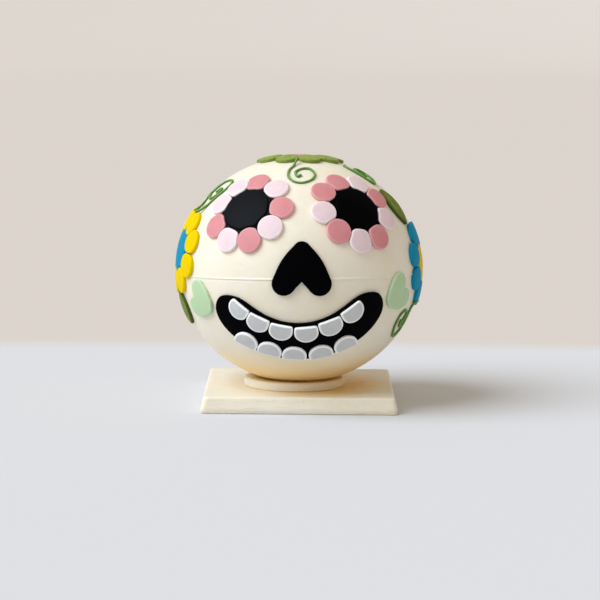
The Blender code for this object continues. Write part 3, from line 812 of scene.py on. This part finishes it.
def leaf_outline(length, count):
    """A pointed leaf along X, two arcs that meet at its ends, and the spine under each point."""
    half, belly = length / 2, LEAF_WIDTH / 2
    radius = (half ** 2 + belly ** 2) / (2 * belly)
    sweep = math.asin(half / radius)
    steps = count // 2
    upper = []
    for i in range(steps):
        angle = sweep - 2 * sweep * i / steps
        upper.append((radius * math.sin(angle), radius * math.cos(angle) - radius + belly))
    outline = upper + [(-x, -y) for x, y in upper]
    return outline, [(LEAF_SPINE_SHARE * x, 0.0) for x, _ in outline]


def mouth_place(angle, radius):
    """A point of the grin, at an angle from straight down and a distance from its pivot."""
    turn = math.radians(angle)
    return (MOUTH_PIVOT[0] + radius * math.sin(turn), MOUTH_PIVOT[1] - radius * math.cos(turn))


def mouth_outline(count):
    """The grin's crescent, and the point of its spine beside each point of the outline."""
    outline, spine = [], []
    for turn in turns_round(count):
        share = -math.cos(turn)
        half = MOUTH_HALF_WIDTH * (1 - abs(share) ** MOUTH_END_SHARPNESS) ** (1 / MOUTH_END_ROUNDNESS)
        side = math.copysign(half, math.sin(turn))
        outline.append(mouth_place(MOUTH_REACH * share + MOUTH_TURN, MOUTH_RADIUS + side))
        spine.append(mouth_place(MOUTH_REACH * share * MOUTH_SPINE_SHARE + MOUTH_TURN, MOUTH_RADIUS))
    return outline, spine


# Paste pieces

def paste_skin(axes, middle, outline, top, seed, base=None, spine=None):
    """The closed skin of one paste piece that follows the ball.

    Every point of the outline shrinks towards its point of the spine, or towards the middle.
    The underside lies a little below the surface it is stuck to.
    """
    own = settings().paste
    base = -own.sink if base is None else base
    spine = spine or [(0.0, 0.0)] * len(outline)
    count = len(outline)
    edge, inner = [], []
    for i in range(count):
        before, after = outline[i - 1], outline[(i + 1) % count]
        run = math.hypot(after[0] - before[0], after[1] - before[1])
        across = ((before[1] - after[1]) / run, (after[0] - before[0]) / run)
        inward = (spine[i][0] - outline[i][0], spine[i][1] - outline[i][1])
        reach = math.hypot(*inward)
        facing = abs(across[0] * inward[0] + across[1] * inward[1]) / reach
        edge.append((inward[0] / reach, inward[1] / reach, max(0.5, facing), reach))
        wobble = own.unevenness * wander((*outline[i], 0.0), OUTLINE_WAVES, seed)
        inner.append((outline[i][0] + wobble * inward[0] / reach,
                      outline[i][1] + wobble * inward[1] / reach))

    def ring(inset, share, height, lift):
        points = []
        for i in range(count):
            step = min(inset / edge[i][2], MOST_INSET_SHARE * edge[i][3])
            u = inner[i][0] + edge[i][0] * step
            v = inner[i][1] + edge[i][1] * step
            u = spine[i][0] + (u - spine[i][0]) * share
            v = spine[i][1] + (v - spine[i][1]) * share
            uneven = own.unevenness * wander((u, v, 0.0), PASTE_WAVES, seed + 1)
            points.append(wrap(axes, middle[0] + u, middle[1] + v, height + lift * uneven))
        return points

    rings = [ring(0.0, 0.0, base, 0.0)]
    rings += [ring(UNDERSIDE_INSET, share, base, 0.0) for share in (0.5, 1.0)]
    rings.append(ring(SIDE_INSET, 1.0, base + SIDE_SHARE * (top - base), 0.0))
    rims = [1.0] * len(rings)
    for inset, drop, level in rounded_edge(own.edge_round):
        rings.append(ring(inset, 1.0, top - drop, level))
        rims.append(max(0.0, 1.0 - inset / RIM_WIDTH))
    last = own.edge_round
    mean_reach = sum(one[3] for one in edge) / count - last
    for share in INNER_SHARES + (0.0,):
        dome = own.dome * (1 - share ** 2)
        rings.append(ring(last, share, top + dome, 1.0))
        rims.append(max(0.0, 1.0 - (last + (1 - share) * mean_reach) / RIM_WIDTH))
    return loft(rings, rims)


def petal_disc(angle, ring, level):
    turn = math.radians(angle)
    return (ring * math.cos(turn), ring * math.sin(turn)), PETAL_RADIUS, level


def seed_of(name):
    """A steady number for each piece's unevenness."""
    return sum(ord(letter) * (i + 1) for i, letter in enumerate(name)) % 97


def add_paste(name, skins, slot_name, material=None):
    """A paste piece on the ball, in its slot's material unless it is given its own."""
    return add_piece(f"{name}_paste", skins, BALL_PLACE, material or material_for(slot_name),
                     (name,))


def centre_skins(axes, disc, petals, top, seed, stretch=(1.0, 1.0)):
    """A flower's centre, and the thinner paste that was pressed out between its petals."""
    own = settings().paste
    middle, radius, _ = disc
    outline = pressed_outline(disc, petals, WIDE_DISC_POINTS, own.gap, stretch=stretch)
    wider = pressed_outline((middle, radius + own.squeezed, 0), [], WIDE_DISC_POINTS, own.gap,
                            stretch=stretch)
    return [paste_skin(axes, middle, outline, top, seed),
            paste_skin(axes, middle, wider, own.squeezed_height, seed)]


def add_eye(name, place, centre_disc, petals, material):
    """An eye flower: a black disc and nine petals, pressed together as they were laid."""
    own = settings().paste
    axes = patch_axes(*place)
    middle, radius, stretch = centre_disc
    discs = [petal_disc(angle, ring, level) for angle, ring, _, level in petals]
    centre = (middle, radius, EYE_CENTRE_LEVEL)
    node = f"{name}_centre"
    skins = centre_skins(axes, centre, discs, own.height, seed_of(node), stretch)
    add_paste(node, skins, "black_paste", material)
    for i, disc in enumerate(discs):
        others = [centre, discs[i - 1], discs[(i + 1) % PETALS]]
        outline = pressed_outline(disc, others, DISC_POINTS, own.gap)
        node = f"{name}_petal_{i + 1}"
        slot_name = "pink_paste" if petals[i][2] == "pink" else "pale_pink_paste"
        add_paste(node, [paste_skin(axes, disc[0], outline, own.height, seed_of(node))], slot_name)


def add_flower(name, place, petals, petal_slot, centre_slot):
    """A side or top flower: nine petals pressed side by side into the rim of a disc."""
    own = settings().paste
    longitude, latitude, centre_top = place
    axes = patch_axes(longitude, latitude)
    discs = [petal_disc(angle, distance, 1) for angle, distance in petals]
    node = f"{name}_centre"
    centre = ((0.0, 0.0), FLOWER_CENTRE_RADIUS, 0)
    add_paste(node, centre_skins(axes, centre, discs, centre_top, seed_of(node)), centre_slot)
    skins = []
    for i, disc in enumerate(discs):
        others = [discs[i - 1], discs[(i + 1) % PETALS]]
        outline = pressed_outline(disc, others, DISC_POINTS, own.gap)
        skins.append(paste_skin(axes, disc[0], outline, own.height, seed_of(name) + i))
    add_paste(f"{name}_petals", skins, petal_slot)


# Piped curls

def smooth_line(places, steps):
    """Points along a smooth line through a few places, each east, north and height."""
    line = []
    for i in range(len(places) - 1):
        around = (places[max(0, i - 1)], places[i], places[i + 1], places[min(len(places) - 1, i + 2)])
        for k in range(steps):
            t = k / steps
            line.append(tuple(
                b + 0.5 * t * (c - a + t * (2 * a - 5 * b + 4 * c - d + t * (3 * (b - c) + d - a)))
                for a, b, c, d in zip(*around)))
    return line + [places[-1]]


def piped_skin(axes, places, seed):
    """A piped line, thicker where the nozzle started and stopped, with a painted highlight along its
    ridge.
    """
    own = settings().icing
    path = smooth_line([(*place, 0.0)[:3] for place in places], CURL_STEPS)
    rings = []
    for i, (u, v, raised) in enumerate(path):
        before, after = path[max(0, i - 1)], path[min(len(path) - 1, i + 1)]
        foot = wrap(axes, u, v, raised)
        outward = (wrap(axes, u, v, raised + 0.001) - foot).normalized()
        along = (wrap(axes, *after) - wrap(axes, *before)).normalized()
        aside = along.cross(outward)
        share = i / (len(path) - 1)
        knot = (START_KNOT * math.exp(-(share / KNOT_REACH) ** 2)
                + END_KNOT * math.exp(-((1 - share) / KNOT_REACH) ** 2))
        uneven = LINE_WANDER * wander((u, v, 0.0), LINE_WAVES, seed)
        radius = own.thickness / 2 * (1 + knot + uneven)
        close = min(1.0, math.sqrt(min(i, len(path) - 1 - i) / CLOSING_STEPS))
        rings.append([foot + aside * (radius * close * math.cos(turn))
                      + outward * (radius * (LINE_REST + close * math.sin(turn)))
                      for turn in turns_round(CURL_SIDES)])
    points, faces, _ = loft(rings)
    # the mask of the painted highlight along the ridge
    ridge = [max(0.0, math.sin(turn)) ** 2 for turn in turns_round(CURL_SIDES)]
    return points, faces, ridge * len(rings)


def add_curl(name, place, strokes):
    """A piped curl of one or more strokes of the nozzle."""
    axes = patch_axes(*place)
    skins = [piped_skin(axes, places, seed_of(name) + i) for i, places in enumerate(strokes)]
    add_piece(f"{name}_icing", skins, BALL_PLACE, material_for("green_icing"), (name,))


# Chocolate pieces

def seam_profile(above, strength):
    """The melted seam: a narrow ridge with a shallow groove just under it."""
    own = settings().ball
    ridge = own.seam_height * math.exp(-(above / own.seam_width) ** 2)
    lower = above + GROOVE_DROP * own.seam_width
    groove = own.seam_height * GROOVE_DEPTH * math.exp(-(lower / own.seam_width) ** 2)
    return strength * (ridge - groove)


def ball_skin():
    """The ball's skin from its underside to its top, with closer rings at the seam."""
    own = settings().ball
    levels = [-math.pi / 2 + math.pi * i / BALL_LEVELS for i in range(BALL_LEVELS + 1)]
    seam = math.asin(-SEAM_DROP / BALL_HALF_HEIGHT)
    reach = SEAM_REACH * own.seam_width / BALL_HALF_HEIGHT
    levels = [level for level in levels if abs(level - seam) > reach]
    levels += [seam + reach * (i / SEAM_LEVELS - 1) for i in range(2 * SEAM_LEVELS + 1)]
    rings = []
    for level in sorted(levels):
        ring = []
        for turn in turns_round(own.segments):
            direction = Vector((BALL_RADIUS * math.cos(level) * math.cos(turn),
                                BALL_RADIUS * math.cos(level) * math.sin(turn),
                                BALL_HALF_HEIGHT * math.sin(level)))
            uneven = SEAM_WANDER * wander((math.cos(turn), math.sin(turn), 0.0), *SEAM_WAVES)
            height = seam_profile((level - seam) * BALL_HALF_HEIGHT, SEAM_STRENGTH + uneven)
            height += own.unevenness * wander(direction, *BALL_WAVES)
            ring.append(on_ball(direction, height))
        rings.append(ring)
    return loft(rings)


def rounded_square(width, corner, height, count):
    """Points round a square with rounded corners, a quarter of them to each side."""
    half = width / 2
    inner = half - corner
    arc = math.pi / 2 * corner
    around = 4 * (2 * inner + arc)
    points = []
    for i in range(count):
        along = around * i / count
        quarter, rest = divmod(along, 2 * inner + arc)
        if rest < arc:
            angle = math.pi / 2 * (quarter + rest / arc)
            sign_x = 1 if quarter in (0, 3) else -1
            sign_y = 1 if quarter in (0, 1) else -1
            points.append((sign_x * inner + corner * math.cos(angle),
                           sign_y * inner + corner * math.sin(angle), height))
        else:
            turn = math.pi / 2 * (quarter + 1)
            slide = inner - (rest - arc)
            points.append((half * math.cos(turn) + slide * math.sin(turn),
                           half * math.sin(turn) - slide * math.cos(turn), height))
    return points


def plate_skin(count=PLATE_POINTS):
    """The plate from its underside up its leaning sides and over its top."""
    own = settings().plate
    low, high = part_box("base_plate")
    width, thickness = high.x - low.x, high.z - low.z
    round_low = own.edge_round / 2
    rings = [rounded_square(width * 0.02, LEAST_CORNER, 0.0, count),
             rounded_square(width - 2 * round_low, own.corner - round_low, 0.0, count)]
    profile = [(0.0, round_low), (own.draft * PLATE_BOW[0], thickness * PLATE_BOW[1])]
    for inset, drop, _ in rounded_edge(own.edge_round):
        profile.append((own.draft + inset, thickness - drop))
    for inset, height in profile:
        corner = max(LEAST_CORNER, own.corner - 0.5 * inset)
        rings.append(rounded_square(width - 2 * inset, corner, height, count))
    top = width - 2 * (own.draft + own.edge_round)
    for i in range(1, PLATE_TOP_RINGS):
        share = 1 - i / PLATE_TOP_RINGS
        corner = max(LEAST_CORNER, own.corner * share * 0.5)
        rings.append(rounded_square(top * share, corner, thickness, count))
    rings.append([(0.0, 0.0, thickness)] * count)
    uneven = []
    for ring in rings:
        moved = []
        for x, y, z in ring:
            lift = own.unevenness * wander((x, y, z), *PLATE_TOP_WAVES) * min(1.0, z / thickness)
            spread = own.unevenness * wander((x, y, z), *PLATE_SIDE_WAVES) * min(1.0, z / PLATE_STEADY)
            reach = max(1e-9, math.hypot(x, y))
            moved.append((x + spread * x / reach, y + spread * y / reach,
                          z + lift * (z > thickness * 0.7)))
        uneven.append(moved)
    return loft([[(0.0, 0.0, 0.0)] * count] + uneven)


def under_ball(x, y):
    """The height of the ball's underside over a place on the plate."""
    back = BALL_PLACE.inverted()
    start, up = back @ Vector((x, y, 0.0)), back.to_3x3() @ Vector((0.0, 0.0, 1.0))
    shrink = Vector((1 / BALL_RADIUS, 1 / BALL_RADIUS, 1 / BALL_HALF_HEIGHT))
    start, up = start * shrink, up * shrink
    a, b, c = up.dot(up), 2 * start.dot(up), start.dot(start) - 1
    return (-b - math.sqrt(max(0.0, b * b - 4 * a * c))) / (2 * a)


def foot_skin(count=FOOT_POINTS):
    """The foot disc from the plate, over its rounded rim, down into the dish under the ball."""
    low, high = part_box("foot_disc")
    middle = ((low.x + high.x) / 2, (low.y + high.y) / 2)
    radius = (high.x - low.x) / 2
    height = high.z - low.z
    base = low.z - FOOT_SINK
    profile = [(0.0, base), (radius - 0.0002, base), (radius + 0.0001, base + 0.0008),
               (radius, base + height * 0.5)]
    profile += [(radius - inset, high.z - drop) for inset, drop, _ in rounded_edge(FOOT_EDGE)]
    profile += [(radius * share, high.z) for share in DISH_SHARES]
    rings = []
    for reach, level in profile:
        ring = []
        for turn in turns_round(count):
            uneven = FOOT_WANDER * wander((math.cos(turn), math.sin(turn), level * 40), *FOOT_WAVES)
            wide = reach + uneven * (reach > 0)
            x, y = middle[0] + wide * math.cos(turn), middle[1] + wide * math.sin(turn)
            ring.append((x, y, min(level, under_ball(x, y) - 0.0001)))
        rings.append(ring)
    return loft(rings)


# Operators

class SMASHBALL_OT_ball(bpy.types.Operator):
    """Make the cast ball with its melted seam"""
    bl_idname = "smashball.ball"
    bl_label = "Ball"

    def execute(self, context):
        add_piece("ball_shell", [ball_skin()], BALL_PLACE, material_for("white_chocolate"),
                  ("shell_upper", "shell_lower"))
        return {"FINISHED"}


class SMASHBALL_OT_base(bpy.types.Operator):
    """Make the base plate and the foot disc the ball sits in"""
    bl_idname = "smashball.base"
    bl_label = "Plate and Foot"

    def execute(self, context):
        # the plate gets the ball's painted shadow beside the foot, and the foot painted warm shade
        # under the ball
        scraped = cast_white_chocolate("scraped_white_chocolate", True, painted_shadow_beside_foot)
        smooth = cast_white_chocolate("smooth_white_chocolate", False, painted_shade_under_ball)
        add_piece("plate_cast", [plate_skin()], Matrix.Identity(4), scraped,
                  ("base_plate",))
        add_piece("foot_cast", [foot_skin()], Matrix.Identity(4), smooth,
                  ("foot_disc",))
        return {"FINISHED"}


class SMASHBALL_OT_eyes(bpy.types.Operator):
    """Make the two eye flowers"""
    bl_idname = "smashball.eyes"
    bl_label = "Eye Flowers"

    def execute(self, context):
        # the left eye's black disc carries a painted sheen
        sheen_painted_black = rolled_sugar_paste("sheen_painted_black_paste", *SHEEN_PAINTED_BLACK)
        add_eye("eye_left", LEFT_EYE, LEFT_EYE_CENTRE, LEFT_EYE_PETALS, sheen_painted_black)
        add_eye("eye_right", RIGHT_EYE, RIGHT_EYE_CENTRE, RIGHT_EYE_PETALS, material_for("black_paste"))
        return {"FINISHED"}


class SMASHBALL_OT_flowers(bpy.types.Operator):
    """Make the side flowers and the top flower"""
    bl_idname = "smashball.flowers"
    bl_label = "Side and Top Flowers"

    def execute(self, context):
        add_flower("side_flower_left", LEFT_FLOWER, LEFT_FLOWER_PETALS, "yellow_paste", "blue_paste")
        add_flower("side_flower_right", RIGHT_FLOWER, RIGHT_FLOWER_PETALS, "blue_paste", "yellow_paste")
        add_flower("top_flower", TOP_FLOWER, TOP_FLOWER_PETALS, "green_paste", "pink_paste")
        return {"FINISHED"}


class SMASHBALL_OT_hearts(bpy.types.Operator):
    """Make the heart nose and the cheek hearts"""
    bl_idname = "smashball.hearts"
    bl_label = "Hearts"

    def execute(self, context):
        top = settings().paste.height
        hearts = (("nose", NOSE, NOSE_HEART, "black_paste"),
                  ("cheek_heart_left", LEFT_CHEEK, LEFT_CHEEK_HEART, "mint_paste"),
                  ("cheek_heart_right", RIGHT_CHEEK, RIGHT_CHEEK_HEART, "mint_paste"))
        for name, (longitude, latitude, tip), heart, slot_name in hearts:
            outline = turned(heart_outline(heart, HEART_POINTS), tip)
            axes = patch_axes(longitude, latitude)
            add_paste(name, [paste_skin(axes, (0.0, 0.0), outline, top, seed_of(name))], slot_name)
        return {"FINISHED"}


class SMASHBALL_OT_grin(bpy.types.Operator):
    """Make the black crescent of the grin"""
    bl_idname = "smashball.grin"
    bl_label = "Grin"

    def execute(self, context):
        outline, spine = mouth_outline(MOUTH_POINTS)
        skin = paste_skin(patch_axes(*MOUTH), (0.0, 0.0), outline, settings().paste.height,
                          seed_of("mouth"), spine=spine)
        add_paste("mouth", [skin], "black_paste")
        return {"FINISHED"}


class SMASHBALL_OT_teeth(bpy.types.Operator):
    """Make the two rows of teeth"""
    bl_idname = "smashball.teeth"
    bl_label = "Teeth"

    def execute(self, context):
        own = settings().paste
        axes = patch_axes(*MOUTH)
        for row, places, flat_side in (("upper", UPPER_TEETH, 90), ("lower", LOWER_TEETH, -90)):
            discs = [(mouth_place(angle, away), radius, 0) for angle, away, radius in places]
            for i, disc in enumerate(discs):
                others = discs[max(0, i - 1):i] + discs[i + 1:i + 2]
                flat = math.radians(flat_side + places[i][0] * TOOTH_TILT)
                outline = pressed_outline(disc, others, DISC_POINTS, own.gap, (flat, TOOTH_CUT))
                node = f"tooth_{row}_{i + 1}"
                skin = paste_skin(axes, disc[0], outline, own.tooth_height, seed_of(node),
                                  base=own.height - own.sink)
                add_paste(node, [skin], "white_paste")
        return {"FINISHED"}


class SMASHBALL_OT_leaves(bpy.types.Operator):
    """Make the two leaves"""
    bl_idname = "smashball.leaves"
    bl_label = "Leaves"

    def execute(self, context):
        own = settings().paste
        # the leaves' edges get strong painted shade
        material = marbled_sugar_paste("darker_marbled_paste", own.leaf, own.leaf_dark, 0.85)
        for name, leaf in (("leaf_left", LEFT_LEAF), ("leaf_right", RIGHT_LEAF)):
            longitude, latitude, points_to, length, top = leaf
            outline, spine = leaf_outline(length, LEAF_POINTS)
            axes = patch_axes(longitude, latitude)
            skin = paste_skin(axes, (0.0, 0.0), turned(outline, points_to), top, seed_of(name),
                              spine=turned(spine, points_to))
            add_paste(name, [skin], "green_paste", material)
        return {"FINISHED"}


class SMASHBALL_OT_curls(bpy.types.Operator):
    """Make the four piped curls"""
    bl_idname = "smashball.curls"
    bl_label = "Piped Curls"

    def execute(self, context):
        add_curl("curl_forehead", FOREHEAD_CURL, FOREHEAD_STROKES)
        add_curl("curl_left", LEFT_CURL, LEFT_STROKES)
        add_curl("curl_right_upper", RIGHT_UPPER_CURL, RIGHT_UPPER_STROKES)
        add_curl("curl_right_lower", RIGHT_LOWER_CURL, RIGHT_LOWER_STROKES)
        return {"FINISHED"}


def add_table(own):
    """A wide table, pale round the piece and warmer further out, that sweeps up far away."""
    profile = [(0.0, 0.0), (SWEEP_START * 0.9, 0.0)]
    for i in range(SWEEP_STEPS + 1):
        angle = math.radians(SWEEP_ANGLE) * i / SWEEP_STEPS
        profile.append((SWEEP_START + SWEEP_RADIUS * math.sin(angle),
                        SWEEP_RADIUS * (1 - math.cos(angle))))
    rings = []
    for reach, height in reversed(profile):
        rings.append([(reach * math.cos(turn), reach * math.sin(turn), height)
                      for turn in turns_round(SWEEP_SIDES)])
    points, faces, _ = loft(rings)
    data = bpy.data.meshes.new("table")
    data.from_pydata(points, [], faces)
    data.shade_smooth()
    material, shader, where = new_material("painted_table")
    far = smooth_share(material, distance_from(material, where, TABLE_MIDDLE), *TABLE_CHANGE)
    colour = mixed(material, far, linear(own.table), linear(own.far_table))
    set_node(material, shader, {"Roughness": 0.85, "Specular IOR Level": 0.15}, {"Base Color": colour})
    data.materials.append(material)
    add_object("table", data)


def add_window(own):
    """Daylight from a wide window to the upper left of the camera."""
    light = bpy.data.lights.new("window", "SUN")
    light.energy = own.key_strength
    light.angle = math.radians(own.key_softness)
    light.color = linear(WINDOW_COLOUR)[:3]
    lamp = add_object("window", light)
    lamp.rotation_euler = Vector(WINDOW_DIRECTION).to_track_quat("-Z", "Y").to_euler()


def add_room(own):
    """The room's soft light, a little stronger from above."""
    world = bpy.data.worlds.new("room")
    world.use_nodes = True
    below, above = ROOM_SHARES
    direction = add_node(world, "ShaderNodeTexCoord", {}, {}).outputs["Generated"]
    height = add_node(world, "ShaderNodeSeparateXYZ", {}, {"Vector": direction}).outputs["Z"]
    strength = add_node(world, "ShaderNodeMapRange",
                        {"To Min": below * own.fill, "To Max": above * own.fill}, {"Value": height})
    set_node(world, world.node_tree.nodes["Background"], {"Color": linear(ROOM_COLOUR)},
             {"Strength": strength.outputs["Result"]})
    bpy.context.scene.world = world


class SMASHBALL_OT_stage(bpy.types.Operator):
    """Set the camera, the window light, the room's light and the table"""
    bl_idname = "smashball.stage"
    bl_label = "Stage"

    def execute(self, context):
        own = settings().stage
        scene = context.scene
        data = bpy.data.cameras.new("camera")
        data.lens = own.lens
        data.sensor_width = 36.0
        data.clip_end = 50.0
        camera = add_object("camera", data)
        camera.matrix_world = (Matrix.Translation((0.0, -own.camera_back, own.camera_height))
                               @ Matrix.Rotation(math.radians(own.camera_tilt), 4, "X")
                               @ Matrix.Rotation(math.radians(own.camera_roll), 4, "Z"))
        scene.camera = camera
        add_window(own)
        add_room(own)
        add_table(own)
        scene.view_settings.view_transform = "Standard"
        return {"FINISHED"}


OPERATORS = (SMASHBALL_OT_ball, SMASHBALL_OT_base, SMASHBALL_OT_eyes, SMASHBALL_OT_flowers,
             SMASHBALL_OT_hearts, SMASHBALL_OT_grin, SMASHBALL_OT_teeth, SMASHBALL_OT_leaves,
             SMASHBALL_OT_curls, SMASHBALL_OT_stage)


class SMASHBALL_PT_panel(bpy.types.Panel):
    """The smash ball's operators"""
    bl_idname = "SMASHBALL_PT_panel"
    bl_label = "Smash Ball"
    bl_space_type = "VIEW_3D"
    bl_region_type = "UI"
    bl_category = "Smash Ball"

    def draw(self, context):
        for operator in OPERATORS:
            self.layout.operator(operator.bl_idname)


CLASSES = (BallSettings, PlateSettings, PasteSettings, IcingSettings, StageSettings,
           SmashBallSettings, *OPERATORS, SMASHBALL_PT_panel)


def register():
    for one in CLASSES:
        bpy.utils.register_class(one)
    bpy.types.Scene.smash_ball = bpy.props.PointerProperty(type=SmashBallSettings)


def unregister():
    del bpy.types.Scene.smash_ball
    for one in reversed(CLASSES):
        bpy.utils.unregister_class(one)


def main():
    register()
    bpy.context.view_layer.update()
    bpy.ops.smashball.ball()
    bpy.ops.smashball.base()
    bpy.ops.smashball.eyes()
    bpy.ops.smashball.flowers()
    bpy.ops.smashball.hearts()
    bpy.ops.smashball.grin()
    bpy.ops.smashball.teeth()
    bpy.ops.smashball.leaves()
    bpy.ops.smashball.curls()
    bpy.ops.smashball.stage()


if __name__ == "__main__":
    main()
